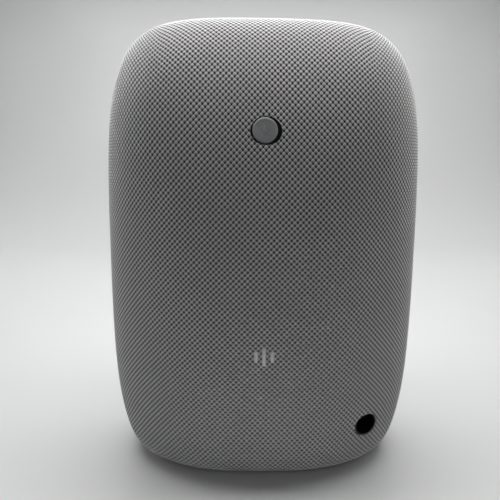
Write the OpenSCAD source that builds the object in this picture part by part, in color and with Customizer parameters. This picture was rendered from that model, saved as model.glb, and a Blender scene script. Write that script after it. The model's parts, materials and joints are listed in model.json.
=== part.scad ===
// Smart speaker with a fabric sleeve, a woofer, a tweeter and a slide switch that mutes its microphones.
// +Z is up, +Y is the side that faces the listener, and -Y is the rear with the switch and the inlet.
// The origin is on the table, under the middle of the foot. All sizes are in millimetres.

/* [Body shape] */
// Width across the fabric
body_w = 124; // [118:1:130]
// Depth across the fabric
body_d = 78; // [76:1:84]
// Height from the table to the top
body_h = 175; // [172:1:180]
// Height of the widest level
wide_z = 70; // [66:1:78]
// Squareness of the outline above the widest level
top_power = 8.8; // [6:0.1:12]
// Squareness of the outline below the widest level
bottom_power = 4.5; // [3.8:0.1:6]
// Roundness of the side profile, where 2 is an ellipse
side_power = 2.2; // [2.1:0.05:2.6]

/* [Skin and shell] */
// Thickness of the knitted fabric
fabric_t = 1.2; // [0.8:0.1:1.3]
// Wall of the two moulded housings
wall_t = 2.5; // [2:0.1:3]
// Gap between the fabric and the housings
skin_gap = 0.3; // [0.2:0.1:0.4]

/* [Foot and base] */
// Length of the foot pad
foot_l = 84; // [80:1:90]
// Depth of the foot pad
foot_d = 40; // [38:1:42]
// Thickness of the foot pad
foot_t = 1.9; // [1.5:0.1:2]
// Height of the fabric's lowest point above the table
fabric_lift = 1.2; // [1:0.1:1.5]

/* [Mute switch] */
// Height of the switch's centre
switch_z = 131.3; // [126:0.1:134]
// Diameter of the round knob
knob_d = 8.6; // [8:0.1:9]
// Length of the opening that the knob slides in
slot_l = 11; // [10.8:0.1:12]
// Height of that opening
slot_h = 9.6; // [9.4:0.1:10.4]
// How far the knob sits from the opening's centre, with the microphones on
knob_rest = -0.4; // [-0.6:0.1:-0.3]

/* [Power inlet] */
// Sideways place of the inlet
inlet_x = 39.8; // [38:0.1:41]
// Height of the inlet
inlet_z = 21.3; // [20:0.1:23]
// Radius of the bore that takes the plug
inlet_r = 4.1; // [3.9:0.1:4.2]

/* [Emblem] */
// Height of the emblem's centre
emblem_z = 53.3; // [48:0.1:56]
// Overall size of the emblem
emblem_size = 7.4; // [6:0.1:8]
// Number of bars
emblem_bars = 3; // [2:1:3]

/* [Drivers] */
// Height of the woofer's axis
woofer_z = 69; // [68:0.5:70]
// Outer radius of the woofer's flange
woofer_r = 39; // [37:0.5:39]
// Height of the tweeter's axis
tweeter_z = 130; // [129:0.5:130.5]
// Outer radius of the tweeter's face plate
tweeter_r = 16.5; // [15:0.5:16.5]

/* [Hidden] */

$fn = 48;
EPS = 0.01;
FAR = 200;

// How far each surface lies inside the fabric's outer surface
housing_outer = fabric_t + skin_gap;
housing_inner = housing_outer + wall_t;

// The outline's two blends: the corner's diagonal cut and how tightly the stretches meet
top_cut = 0.54;
bottom_cut = 0.63;
corner_blend = 10;
base_blend = 22;
// Half height of the lower part if the base did not cut it off
bottom_reach = 107;

// Facets of the pillow surface, round the outline and from the rim to the middle of a face
columns = 72;
rings = 13;

// Clearances between pieces that touch nothing, pieces that sit in each other, and the two housings
gap = 0.3;
snug = 0.05;
seam = 0.2;
fabric_gap = 0.1;

// How far inwards the openings for the switch, the emblem and the inlet are cut through the rear
switch_cut_y = -20;
emblem_cut_y = -30;
inlet_cut_y = -10;

// ---- The pillow surface ----

// Length of an outline vector, so that 1 is on the outline
function outline_size(x, z, power, cut) =
    pow((pow(pow(x, power) + pow(z, power), corner_blend / power) + pow(cut * (x + z), corner_blend))
        / (1 + pow(cut, corner_blend)), 1 / corner_blend);

// A point on the surface that lies inset millimetres inside the fabric's outer surface.
// around runs round the outline from +X, and toward runs from the rim, 0, to the middle of a face, 90.
function pillow_point(around, toward, inset) =
    let (
        above = sin(around) >= 0,
        power = above ? top_power : bottom_power,
        cut = above ? top_cut : bottom_cut,
        reach = (above ? body_h - wide_z : bottom_reach) - inset,
        edge = 1 / outline_size(abs(cos(around)), abs(sin(around)), power, cut),
        swell = pow(pow(abs(cos(toward)), side_power) + pow(abs(sin(toward)), side_power), -1 / side_power),
        x = (body_w / 2 - inset) * cos(around) * edge * cos(toward) * swell,
        y = (body_d / 2 - inset) * sin(toward) * swell,
        z = reach * sin(around) * edge * cos(toward) * swell,
        floor_depth = wide_z - fabric_lift - inset,
        shrink = z < 0 ? pow(1 + pow(-z / floor_depth, base_blend), -1 / base_blend) : 1
    )
    [x * shrink, y * shrink, wide_z + z * shrink];

// One half of the surface, as rings of points and a last point in the middle of the face
function half_points(side, inset) = [
    for (r = [0 : rings - 1], c = [0 : columns - 1])
        pillow_point(360 * c / columns, side * 90 * r / rings, inset),
    pillow_point(0, side * 90, inset)
];

// True if the edge from a to d lies further out than the one from b to c, so that a split along it bulges
function bulges(a, b, c, d) =
    let (n = cross(d - a, c - b), middle = a + b + c + d - 4 * [0, 0, wide_z])
    (n * middle) * (n * (a + d - b - c)) > 0;

// The faces of one half whose points start at index start: strips between rings, and a fan round the middle
function half_faces(points, start) = concat(
    [
        for (r = [0 : rings - 2], c = [0 : columns - 1])
            let (
                a = r * columns + c,
                b = r * columns + (c + 1) % columns,
                inner_a = a + columns,
                inner_b = b + columns,
                along = bulges(points[a], points[b], points[inner_a], points[inner_b])
            )
            for (f = along
                ? [[a, b, inner_b], [a, inner_b, inner_a]]
                : [[a, b, inner_a], [b, inner_b, inner_a]])
                [for (i = f) start + i]
    ],
    [
        for (c = [0 : columns - 1])
            let (ring = start + (rings - 1) * columns)
            [ring + c, ring + (c + 1) % columns, start + rings * columns]
    ]
);
function flipped(faces) = [for (f = faces) [f[2], f[1], f[0]]];

// The whole surface as one closed solid
module pillow(inset) {
    back = half_points(-1, inset);
    front = half_points(1, inset);
    // the front half leaves out its own first ring and starts from the back half's
    front_start = len(back) - columns;
    shifted = [for (i = [columns : len(front) - 1]) front[i]];
    joined = [
        for (f = half_faces(front, front_start))
            [for (i = f) i < len(back) ? i - front_start : i]
    ];
    polyhedron(concat(back, shifted), concat(flipped(half_faces(back, 0)), joined));
}

// Half of a hollow shell, open at the plane between the two housings
module half_shell(side, outer, inner) {
    skin = half_points(side, outer);
    liner = half_points(side, inner);
    n = len(skin);
    rim = [
        for (c = [0 : columns - 1])
            let (d = (c + 1) % columns)
            for (f = [[c, d, n + c], [d, n + d, n + c]]) f
    ];
    faces = concat(flipped(half_faces(skin, 0)), half_faces(liner, n), rim);
    polyhedron(concat(skin, liner), side < 0 ? faces : flipped(faces));
}

// ---- Helpers ----

// Turns a flat drawing, whose first axis is X and second is Z, into a slab from y0 to y1
module slab_y(y0, y1) {
    translate([0, y1, 0]) rotate([90, 0, 0]) linear_extrude(y1 - y0) children();
}

// A cylinder along Y at a given place
module rod_y(x, z, r, y0, y1) {
    translate([x, y0, z]) rotate([-90, 0, 0]) cylinder(r = r, h = y1 - y0);
}

// A ring along Y
module ring_y(x, z, r_out, r_in, y0, y1) {
    difference() {
        rod_y(x, z, r_out, y0, y1);
        rod_y(x, z, r_in, y0 - 1, y1 + 1);
    }
}

// A turned shape about an axis along +Y at height z: its outline is [radius, y]
module turned_y(z) {
    translate([0, 0, z]) rotate([-90, 0, 0]) rotate_extrude() children();
}

// A flat shape with round ends
module stadium(length, height) {
    run = (length - height) / 2;
    square([2 * run, height], center = true);
    translate([-run, 0]) circle(d = height);
    translate([run, 0]) circle(d = height);
}

// A rectangle with round corners
module round_rect(w, h, r) {
    square([w - 2 * r, h], center = true);
    square([w, h - 2 * r], center = true);
    for (x = [-1, 1], y = [-1, 1]) translate([x * (w / 2 - r), y * (h / 2 - r)]) circle(r);
}

// A pan-head screw along +Z, with its head's underside at z = 0 and a cross recess
module screw(head_r, head_h, shank_r, length) {
    difference() {
        union() {
            translate([0, 0, -head_h]) cylinder(r = head_r, h = head_h + EPS);
            cylinder(r = shank_r, h = length);
        }
        for (turn = [0, 90]) rotate(turn)
            translate([-head_r * 0.6, -head_r * 0.12, -head_h - EPS])
                cube([head_r * 1.2, head_r * 0.24, head_h * 0.5]);
    }
}

// ---- Places that several pieces share ----

// Rear surface at the switch and the inlet, and the way each stretch of it leans
switch_y = -33.1;
switch_lean = 13;
inlet_y = -28.4;
inlet_turn = 26;
emblem_y = -38.9;

// The knob, its opening and its recess
knob_front = switch_y + 0.1;
knob_t = 2;
recess_wall = 0.6;
recess_floor = -29.6;
recess_back = -28.6;
stem_r = 1.6;
knob_travel = 1.3;
carrier_y0 = recess_back + 0.2;
carrier_y1 = carrier_y0 + 1;
switch_case_y0 = carrier_y1 + 0.4;
switch_case_y1 = switch_case_y0 + 3.2;
mute_board_y0 = switch_case_y1 + snug;
mute_board_y1 = mute_board_y0 + 1;
mute_board_w = 22;
mute_board_h = 14;
mute_screw_x = 8.5;
mute_post_r = 2.2;
mute_pilot_r = 1;

// The power inlet, from its mouth inwards
sleeve_r = 4.7;
sleeve_back = -17.5;
jack_back = -6.5;
jack_w = 11;
jack_h = 9.4;
jack_cavity_r = 3;
jack_pin_r = 0.65;
board_t = 1.2;

// The seam screws at the sides
seam_x = 47;
seam_z = [42, 98];
seam_boss_r = 3.6;
seam_boss_y = 21.3;
seam_head_y = -12;
seam_shank_r = 1.25;
seam_well_r = 2.9;
seam_clear_r = 1.6;
seam_pilot_r = 1.3;

// The foot and the base
foot_corner = foot_d * 0.4;
base_w = 77.4;
base_d = 33.4;
base_r = 12;
base_bottom = 2;
base_top = 5.2;
base_screw_x = 30;
base_screw_y = 12.5;
block_w = 8;
block_y = 23.8;
block_z0 = 4.7;
block_z1 = 11.5;
base_pilot_r = 1.1;
base_pilot_z = 4;
base_pilot_h = 7.5;

// The sealed chamber, its gasket and the baffle in front of it
chamber_w = 84;
chamber_z0 = 30;
chamber_z1 = 108;
chamber_back = -20;
chamber_front = 16.5;
chamber_wall = 2.2;
chamber_r = 14;
gasket_t = 1.2;
baffle_y0 = chamber_front + gasket_t + 2 * snug;
baffle_y1 = baffle_y0 + 3;
baffle_neck_w = 36;
baffle_top = 149;
woofer_hole_r = 34.5;
woofer_screw_pcd = 73.5;
tweeter_hole_r = 12.4;
tweeter_screw_pcd = 29.5;
dome_r = 9.5;

// The woofer, from the flange backwards
flange_y0 = baffle_y1 + snug;
flange_y1 = flange_y0 + 2;
pot_y = 0;
gap_in = 6.95;
gap_out = 8.45;
coil_in = 7.2;
coil_out = 8.1;
former_t = 0.25;
cone_in = coil_in + former_t + snug;
cone_out = 29.5;
magnet_r = 21;
steel_r = magnet_r - 2;
plate_y0 = -3;
magnet_y0 = -13.4;

// The rear electronics
main_y0 = -26.4;
main_w = 70;
main_z0 = 46;
main_z1 = 108;
main_hole_x = 31;
main_hole_z = [50, 104];
main_post_r = 3;
main_pilot_r = 1.1;

// The touch board under the top, its microphones and the lights
touch_z = 164.4;
touch_w = 58;
touch_d = 17;
mic_x = [-24, 0, 24];
mic_y = 4;
mic_hole_r = 0.6;
light_z = 111;
light_x = [-15, -5, 5, 15];
guide_r = 1.5;

// The two speaker wires
wire_x = [-2.5, 2.5];
wire_r = 0.7;

// ---- Cut-outs that several pieces share ----

module slot_outline(grow) {
    translate([0, switch_z]) stadium(slot_l + 2 * grow, slot_h + 2 * grow);
}

module emblem_outline(grow) {
    pitch = emblem_size * 0.39;
    bar_w = emblem_size * 0.2;
    for (i = [0 : emblem_bars - 1]) {
        from_middle = i - (emblem_bars - 1) / 2;
        bar_h = emblem_size * (1 - 0.4 * abs(from_middle));
        translate([from_middle * pitch, emblem_z]) rotate(90)
            stadium(bar_h + 2 * grow, bar_w + 2 * grow);
    }
}

module base_outline(grow) {
    round_rect(base_w + 2 * grow, base_d + 2 * grow, base_r + grow);
}

// Everything in front of the plane that lies depth below the leaning surface at the switch
module before_switch_face(depth) {
    translate([0, switch_y + depth, switch_z]) rotate([-switch_lean, 0, 0])
        translate([-20, -40, -20]) cube(40);
}

// Everything in front of the plane that lies depth below the turned surface at the inlet
module before_inlet_face(depth) {
    translate([inlet_x, inlet_y + depth, inlet_z]) rotate([0, 0, inlet_turn])
        translate([-20, -40, -20]) cube(40);
}

// ---- Skin, housings and base ----

module fabric_sleeve() {
    color("#b9bab9") difference() {
        pillow(0);
        pillow(fabric_t);
        slab_y(-FAR, switch_cut_y) slot_outline(0);
        slab_y(-FAR, emblem_cut_y) emblem_outline(fabric_gap);
        rod_y(inlet_x, inlet_z, sleeve_r + fabric_gap, -FAR, inlet_cut_y);
        translate([0, 0, -10]) linear_extrude(20)
            round_rect(foot_l + 2 * gap, foot_d + 2 * gap, foot_corner + gap);
    }
}

module seam_boss(side) {
    for (x = [-seam_x, seam_x], z = seam_z)
        rod_y(x, z, seam_boss_r, side < 0 ? -seam_boss_y : seam, side < 0 ? 0 : seam_boss_y);
}

// A block over the base plate's edge, which its screws bite into
module base_blocks(side) {
    block_d = block_y - base_screw_y + block_w / 2;
    for (x = [-base_screw_x, base_screw_x])
        translate([x - block_w / 2, side < 0 ? -block_y : block_y - block_d, block_z0])
            cube([block_w, block_d, block_z1 - block_z0]);
}

module base_opening() {
    translate([0, 0, -5]) linear_extrude(base_top + 5 + gap) base_outline(gap);
}

module rear_housing() {
    color("#8d8f90") difference() {
        union() {
            half_shell(-1, housing_outer, housing_inner);
            seam_boss(-1);
            base_blocks(-1);
            for (x = [-main_hole_x, main_hole_x], z = main_hole_z)
                rod_y(x, z, main_post_r, -31.5, main_y0 - snug);
            for (x = [-mute_screw_x, mute_screw_x])
                rod_y(x, switch_z, mute_post_r, -30, mute_board_y0 - snug);
        }
        base_opening();
        slab_y(-FAR, switch_cut_y) slot_outline(recess_wall + snug);
        rod_y(inlet_x, inlet_z, sleeve_r + snug, -FAR, inlet_cut_y);
        for (x = [-seam_x, seam_x], z = seam_z) {
            rod_y(x, z, seam_well_r, -FAR, seam_head_y);
            rod_y(x, z, seam_clear_r, -30, 5);
        }
        for (x = [-main_hole_x, main_hole_x], z = main_hole_z)
            rod_y(x, z, main_pilot_r, -30, main_y0 + 1);
        for (x = [-mute_screw_x, mute_screw_x])
            rod_y(x, switch_z, mute_pilot_r, -28.5, mute_board_y0 + 1);
        for (x = [-base_screw_x, base_screw_x])
            translate([x, -base_screw_y, base_pilot_z]) cylinder(r = base_pilot_r, h = base_pilot_h);
    }
}

// Level slots that together fill a circle at height z: count of them each side of the middle one
module grille_slots(z, circle_r, count, pitch) {
    slot_t = 3.2;
    for (i = [-count : count]) {
        dz = i * pitch;
        half_l = sqrt(circle_r * circle_r - dz * dz);
        translate([-half_l, 15, z + dz - slot_t / 2]) cube([2 * half_l, 40, slot_t]);
    }
}

module front_housing() {
    color("#8d8f90") difference() {
        union() {
            translate([0, seam, 0]) half_shell(1, housing_outer, housing_inner);
            seam_boss(1);
            base_blocks(1);
        }
        base_opening();
        grille_slots(woofer_z, 35, 5, 6.2);
        grille_slots(tweeter_z, 11, 1, 6);
        for (x = [-seam_x, seam_x], z = seam_z) rod_y(x, z, seam_pilot_r, -1, 14);
        for (x = light_x) rod_y(x, light_z, guide_r + snug, 15, 60);
        for (x = mic_x) translate([x, mic_y, touch_z]) cylinder(r = mic_hole_r, h = 20);
        for (x = [-base_screw_x, base_screw_x])
            translate([x, base_screw_y, base_pilot_z]) cylinder(r = base_pilot_r, h = base_pilot_h);
    }
}

module base_plate() {
    color("#6d6f70") difference() {
        translate([0, 0, base_bottom]) linear_extrude(base_top - base_bottom) base_outline(0);
        for (x = [-base_screw_x, base_screw_x], y = [-base_screw_y, base_screw_y])
            translate([x, y, base_bottom]) {
                translate([0, 0, -1]) cylinder(r = 2.4, h = 2.6);
                cylinder(r = 1.25, h = 10);
            }
    }
}

module foot_pad() {
    color("#9a9b9a") linear_extrude(foot_t) round_rect(foot_l, foot_d, foot_corner);
}

module base_screws() {
    color("silver")
    for (x = [-base_screw_x, base_screw_x], y = [-base_screw_y, base_screw_y])
        translate([x, y, base_bottom + 1.6 - snug]) screw(2.1, 1.3, 1.0, 7);
}

module shell_screws() {
    color("silver")
    for (x = [-seam_x, seam_x], z = seam_z)
        translate([x, seam_head_y - snug, z]) rotate([-90, 0, 0]) screw(2.6, 1.8, seam_shank_r, 24);
}

module emblem() {
    color("#c9cac8") slab_y(emblem_y, emblem_y + fabric_t + 0.3) emblem_outline(0);
}

// ---- Mute switch ----

module switch_recess() {
    color("#101112") difference() {
        slab_y(-36, recess_back) slot_outline(recess_wall);
        slab_y(-40, recess_floor) slot_outline(0);
        before_switch_face(housing_outer);
        slab_y(-40, -20) translate([knob_rest + knob_travel / 2, switch_z])
            stadium(2 * stem_r + knob_travel + 0.8, 2 * stem_r + 0.4);
    }
}

module mute_indicator() {
    slot_left = -slot_l / 2;
    color("#e8681c") translate([slot_left + 0.95, recess_floor - 0.25, switch_z - 2.5])
        cube([1.2, 0.22, 5]);
}

module mute_knob() {
    dimple_r = 0.5;
    color("#8c8e8e") translate([knob_rest, 0, switch_z]) rotate([-90, 0, 0]) difference() {
        union() {
            translate([0, 0, knob_front + 0.3]) cylinder(d = knob_d, h = knob_t - 0.3);
            translate([0, 0, knob_front]) cylinder(d1 = knob_d - 0.6, d2 = knob_d, h = 0.3);
            translate([0, 0, knob_front + 1]) cylinder(r = stem_r, h = carrier_y0 - knob_front - 1 - snug);
        }
        translate([0, 0, knob_front - EPS]) cylinder(r = dimple_r, h = 0.2);
    }
}

module mute_carrier() {
    color("#2a2b2c") {
        translate([knob_rest - 4, carrier_y0, switch_z - 3]) cube([8, carrier_y1 - carrier_y0, 6]);
        for (x = [-1.3, 0.7])
            translate([knob_rest + x, carrier_y1 - EPS, switch_z - 1]) cube([0.6, 1.2, 2]);
    }
}

module mute_switch() {
    case_w = 8.5;
    lever_w = 1.3;
    color("#b4b6b8") difference() {
        translate([-case_w / 2 + knob_rest + knob_travel / 2, switch_case_y0, switch_z - 1.9])
            cube([case_w, switch_case_y1 - switch_case_y0, 3.8]);
        translate([knob_rest - 1.3 - gap, switch_case_y0 - 1, switch_z - lever_w])
            cube([2.6 + knob_travel + 2 * gap, 2.4, 2 * lever_w]);
    }
}

module mute_board() {
    color("#1d5a38") difference() {
        slab_y(mute_board_y0, mute_board_y1)
            translate([0, switch_z]) round_rect(mute_board_w, mute_board_h, 1.5);
        for (x = [-mute_screw_x, mute_screw_x]) rod_y(x, switch_z, 1.1, -30, -10);
    }
}

// ---- Power inlet ----

module inlet_sleeve() {
    color("#0c0c0d") difference() {
        rod_y(inlet_x, inlet_z, sleeve_r, -40, sleeve_back);
        rod_y(inlet_x, inlet_z, inlet_r, -50, sleeve_back + 1);
        before_inlet_face(0.7);
    }
}

module power_jack() {
    color("#151617") difference() {
        translate([inlet_x - jack_w / 2, sleeve_back + snug, inlet_z - jack_h / 2])
            cube([jack_w, jack_back - sleeve_back, jack_h]);
        rod_y(inlet_x, inlet_z, jack_cavity_r, sleeve_back - 1, jack_back - 2);
        rod_y(inlet_x, inlet_z, jack_pin_r + snug, sleeve_back, jack_back + 5);
    }
}

module jack_pin() {
    color("#c8b273") {
        rod_y(inlet_x, inlet_z, jack_pin_r, sleeve_back + 1, jack_back + 0.6);
        translate([inlet_x, sleeve_back + 1, inlet_z]) sphere(jack_pin_r);
    }
}

module power_board() {
    color("#1d5a38") translate([inlet_x - 26, sleeve_back + 1, inlet_z - jack_h / 2 - board_t - snug])
        cube([32, 22, board_t]);
}

// ---- Chamber and baffle ----

module chamber_outline(grow) {
    translate([0, (chamber_z0 + chamber_z1) / 2])
        round_rect(chamber_w + 2 * grow, chamber_z1 - chamber_z0 + 2 * grow, chamber_r + grow);
}

module acoustic_chamber() {
    color("#3b3d3f") difference() {
        slab_y(chamber_back, chamber_front) chamber_outline(0);
        slab_y(chamber_back + chamber_wall, chamber_front + 1) chamber_outline(-chamber_wall);
        for (x = wire_x) rod_y(x, chamber_z1 - 8, wire_r + 0.1, chamber_back - 1, 0);
    }
}

module chamber_gasket() {
    color("#1c1c1c") difference() {
        slab_y(chamber_front + snug, chamber_front + snug + gasket_t) chamber_outline(0);
        slab_y(chamber_front - 1, chamber_front + 3) chamber_outline(-chamber_wall);
    }
}

module driver_baffle() {
    neck_z = (chamber_z1 + baffle_top) / 2 - 5;
    neck_h = baffle_top - chamber_z1 + 10;
    color("#303234") difference() {
        slab_y(baffle_y0, baffle_y1) {
            chamber_outline(0);
            translate([0, neck_z]) round_rect(baffle_neck_w, neck_h, 8);
        }
        rod_y(0, woofer_z, woofer_hole_r, 0, 40);
        rod_y(0, tweeter_z, tweeter_hole_r, 0, 40);
        bolt_holes(woofer_z, woofer_screw_pcd / 2, 1.05);
        bolt_holes(tweeter_z, tweeter_screw_pcd / 2, 0.85);
    }
}

// Four holes along Y on a circle, at the diagonals
module bolt_holes(z, r, hole_r) {
    for (turn = [45 : 90 : 315]) rod_y(r * cos(turn), z + r * sin(turn), hole_r, 0, 40);
}

module ring_of_screws(z, r, head_r, head_h, shank_r, length) {
    for (turn = [45 : 90 : 315])
        translate([r * cos(turn), flange_y1 + snug, z + r * sin(turn)]) rotate([90, 0, 0])
            screw(head_r, head_h, shank_r, length);
}

// ---- Woofer: outlines are [radius, distance along +Y] ----

module woofer_basket() {
    shelf_y = 4;
    color("#26282a") difference() {
        turned_y(woofer_z) polygon([
            [woofer_r, flange_y1], [woofer_r, flange_y0], [34.3, flange_y0], [31, 13], [20.5, shelf_y],
            [20.5, pot_y], [gap_out + 0.4, pot_y], [gap_out + 0.4, pot_y + 1.5], [17.5, pot_y + 1.5],
            [17.5, shelf_y + 0.9], [19.2, shelf_y + 0.9], [29.4, 13.6], [33, flange_y1]
        ]);
        bolt_holes(woofer_z, woofer_screw_pcd / 2, 1.35);
        for (turn = [0 : 90 : 270])
            translate([0, 0, woofer_z]) rotate([0, turn, 0]) translate([12, 7, -10]) cube([30, 9, 20]);
    }
}

module woofer_plate() {
    color("#8a8d90") ring_y(0, woofer_z, steel_r, gap_out, plate_y0, pot_y - snug);
}

module woofer_magnet() {
    color("#2c2b2b") ring_y(0, woofer_z, magnet_r, 9.6, magnet_y0, plate_y0 - snug);
}

module woofer_yoke() {
    color("#8a8d90") {
        rod_y(0, woofer_z, gap_in, magnet_y0 - 1, -0.2);
        rod_y(0, woofer_z, steel_r, magnet_y0 - 3, magnet_y0 - snug);
    }
}

module voice_coil() {
    color("#b46b3a") {
        ring_y(0, woofer_z, coil_in + former_t, coil_in, -7, 9.4);
        ring_y(0, woofer_z, coil_out, coil_in + 0.2, -6, 1.2);
    }
}

module woofer_cone() {
    color("#1b1c1d") turned_y(woofer_z) polygon([
        [cone_in, 8.2], [cone_in, 9.4], [20, 17.2], [cone_out, 23.2], [cone_out, 22.4], [20.4, 16.4]
    ]);
}

module dust_cap() {
    $fn = 120;
    cap_r = 11;
    ball_r = 20;
    rise = sqrt(ball_r * ball_r - cap_r * cap_r);
    base_y = 11.75;
    color("#161718") intersection() {
        difference() {
            translate([0, base_y - rise, woofer_z]) sphere(ball_r);
            translate([0, base_y - rise, woofer_z]) sphere(ball_r - 0.6);
        }
        rod_y(0, woofer_z, cap_r, base_y, base_y + 12);
    }
}

module woofer_surround() {
    roll_r = 1.9;
    rubber_t = 0.5;
    roll_middle = cone_out + 0.2 + roll_r;
    lip_y = flange_y1 + snug;
    color("#141414") turned_y(woofer_z) difference() {
        union() {
            translate([roll_middle, lip_y]) circle(roll_r);
            translate([roll_middle, lip_y]) square([roll_r + 0.9, rubber_t]);
        }
        translate([roll_middle, lip_y]) circle(roll_r - rubber_t);
        translate([roll_middle - 4, lip_y - 4]) square([8, 4]);
    }
}

module woofer_spider() {
    inner = cone_in;
    outer = 17.8;
    waves = 3;
    steps = 36;
    thick = 0.4;
    wave = function (i) 6 + 0.8 * sin(360 * waves * i / steps);
    radius = function (i) inner + (outer - inner) * i / steps;
    color("#b98a3c") turned_y(woofer_z) polygon(concat(
        [for (i = [0 : steps]) [radius(i), wave(i)]],
        [for (i = [steps : -1 : 0]) [radius(i), wave(i) - thick]]
    ));
}

module woofer_screws() {
    color("silver") ring_of_screws(woofer_z, woofer_screw_pcd / 2, 2.1, 1.2, 0.95, 7);
}

// ---- Tweeter ----

module tweeter_frame() {
    color("#1e1f20") difference() {
        turned_y(tweeter_z) polygon([
            [tweeter_r, flange_y0], [tweeter_r, flange_y1], [12.6, flange_y1], [10.6, flange_y0 + 1],
            [10.6, 15], [12, 15], [12, flange_y0]
        ]);
        bolt_holes(tweeter_z, tweeter_screw_pcd / 2, 1.05);
    }
}

module tweeter_magnet() {
    color("#3a3a3b") {
        rod_y(0, tweeter_z, 11.8, 5, 14.8);
        rod_y(0, tweeter_z, 7, 14, 16);
    }
}

module tweeter_dome() {
    ball_r = 12;
    rise = sqrt(ball_r * ball_r - dome_r * dome_r);
    base_y = 17.6;
    color("#c9ccd0") {
        intersection() {
            difference() {
                translate([0, base_y - rise, tweeter_z]) sphere(ball_r);
                translate([0, base_y - rise, tweeter_z]) sphere(ball_r - 0.4);
            }
            rod_y(0, tweeter_z, dome_r, base_y, base_y + 10);
        }
        ring_y(0, tweeter_z, dome_r, dome_r - 0.4, base_y - 1.6, base_y + 0.1);
    }
}

module tweeter_screws() {
    color("silver") ring_of_screws(tweeter_z, tweeter_screw_pcd / 2, 1.5, 0.9, 0.75, 6);
}

// ---- Boards ----

module main_board() {
    color("#1b5e3a") difference() {
        slab_y(main_y0, main_y0 + board_t) translate([0, (main_z0 + main_z1) / 2])
            round_rect(main_w, main_z1 - main_z0, 3);
        for (x = [-main_hole_x, main_hole_x], z = main_hole_z) rod_y(x, z, 1.3, -40, 0);
    }
}

module heat_spreader() {
    plate_w = 40;
    plate_h = 34;
    plate_t = 1.5;
    plate_z = 64;
    fin_t = 1;
    fin_pitch = 5;
    color("#c4c7ca") {
        translate([-plate_w / 2, main_y0 - plate_t - 0.1, plate_z]) cube([plate_w, plate_t, plate_h]);
        for (i = [0 : plate_w / fin_pitch])
            translate([i * fin_pitch - (plate_w + fin_t) / 2, main_y0 - 4.4, plate_z])
                cube([fin_t, 2.9, plate_h]);
    }
}

module chip_shield() {
    shield_w = 26;
    shield_z = 68;
    color("#b9bcc0") translate([-shield_w / 2, main_y0 + board_t + snug, shield_z])
        cube([shield_w, 2.6, 22]);
}

module board_screws() {
    color("silver") {
        for (x = [-main_hole_x, main_hole_x], z = main_hole_z)
            translate([x, main_y0 + board_t + snug, z]) rotate([90, 0, 0]) screw(2.1, 1.3, 1.0, 3.6);
        for (x = [-mute_screw_x, mute_screw_x])
            translate([x, mute_board_y1 + snug, switch_z]) rotate([90, 0, 0]) screw(1.7, 1, 0.9, 3.5);
    }
}

module touch_board() {
    color("#1b5e3a") translate([0, 0, touch_z]) linear_extrude(board_t) difference() {
        round_rect(touch_w, touch_d, 3);
        for (x = mic_x) translate([x, mic_y]) circle(mic_hole_r);
    }
}

module mic_seals() {
    seal_z = touch_z + board_t + snug;
    color("#1a1a1a") for (x = mic_x) translate([x, mic_y, seal_z]) difference() {
        cylinder(r = 2, h = 3.2);
        translate([0, 0, -1]) cylinder(r = 0.8, h = 6);
    }
}

module light_board() {
    strip_w = 42;
    strip_h = 3.8;
    color("#1b5e3a") translate([-strip_w / 2, baffle_y1 + snug, light_z - strip_h / 2])
        cube([strip_w, 1, strip_h]);
}

module light_guides() {
    color("#e6ebee") for (x = light_x) rod_y(x, light_z, guide_r, baffle_y1 + 1.2, 33.4);
}

// A flat cable's stretches: beside the main board, over the chamber, up, and under the touch board
module flex_cables() {
    strip_w = 8;
    strip_t = 0.3;
    left = 12;
    board_y = main_y0 + board_t + snug;
    over_z = chamber_z1 + 4;
    rise_y = -12.5;
    top_z = touch_z - snug;
    color("#c07a2b") {
        translate([left, board_y, main_z1 - 8]) cube([strip_w, strip_t, over_z - main_z1 + 8]);
        translate([left, board_y, over_z]) cube([strip_w, rise_y - board_y, strip_t]);
        translate([left, rise_y - strip_t, over_z]) cube([strip_w, strip_t, top_z - over_z]);
        translate([left, rise_y - strip_t, top_z - strip_t]) cube([strip_w, 9, strip_t]);
    }
}

module speaker_wires() {
    riser_y = -21.6;
    woofer_end_z = chamber_z1 - 8;
    color("#b3261e") for (x = wire_x) {
        rod_y(x, woofer_end_z, wire_r, main_y0 + board_t + snug, 8);
        rod_y(x, tweeter_z, wire_r, riser_y, 4.9);
        translate([x, riser_y, tweeter_z]) sphere(wire_r);
        translate([x, riser_y, woofer_end_z]) cylinder(r = wire_r, h = tweeter_z - woofer_end_z);
    }
}

fabric_sleeve();
rear_housing();
front_housing();
base_plate();
foot_pad();
base_screws();
shell_screws();
emblem();
switch_recess();
mute_indicator();
mute_knob();
mute_carrier();
mute_switch();
mute_board();
inlet_sleeve();
power_jack();
jack_pin();
power_board();
acoustic_chamber();
chamber_gasket();
driver_baffle();
woofer_basket();
woofer_yoke();
woofer_magnet();
woofer_plate();
voice_coil();
woofer_cone();
dust_cap();
woofer_surround();
woofer_spider();
woofer_screws();
tweeter_frame();
tweeter_magnet();
tweeter_dome();
tweeter_screws();
main_board();
heat_spreader();
chip_shield();
board_screws();
touch_board();
mic_seals();
light_board();
light_guides();
flex_cables();
speaker_wires();
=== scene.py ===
"""Looks of a fabric-covered smart speaker, seen from behind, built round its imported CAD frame.

The knitted sleeve is real geometry: every hole and every diamond between four holes has its own
vertices. Lengths in this script are millimetres until a mesh is made.
"""
import json
import math

import bmesh
import bpy
import numpy as np
from mathutils import Matrix, Vector


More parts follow.
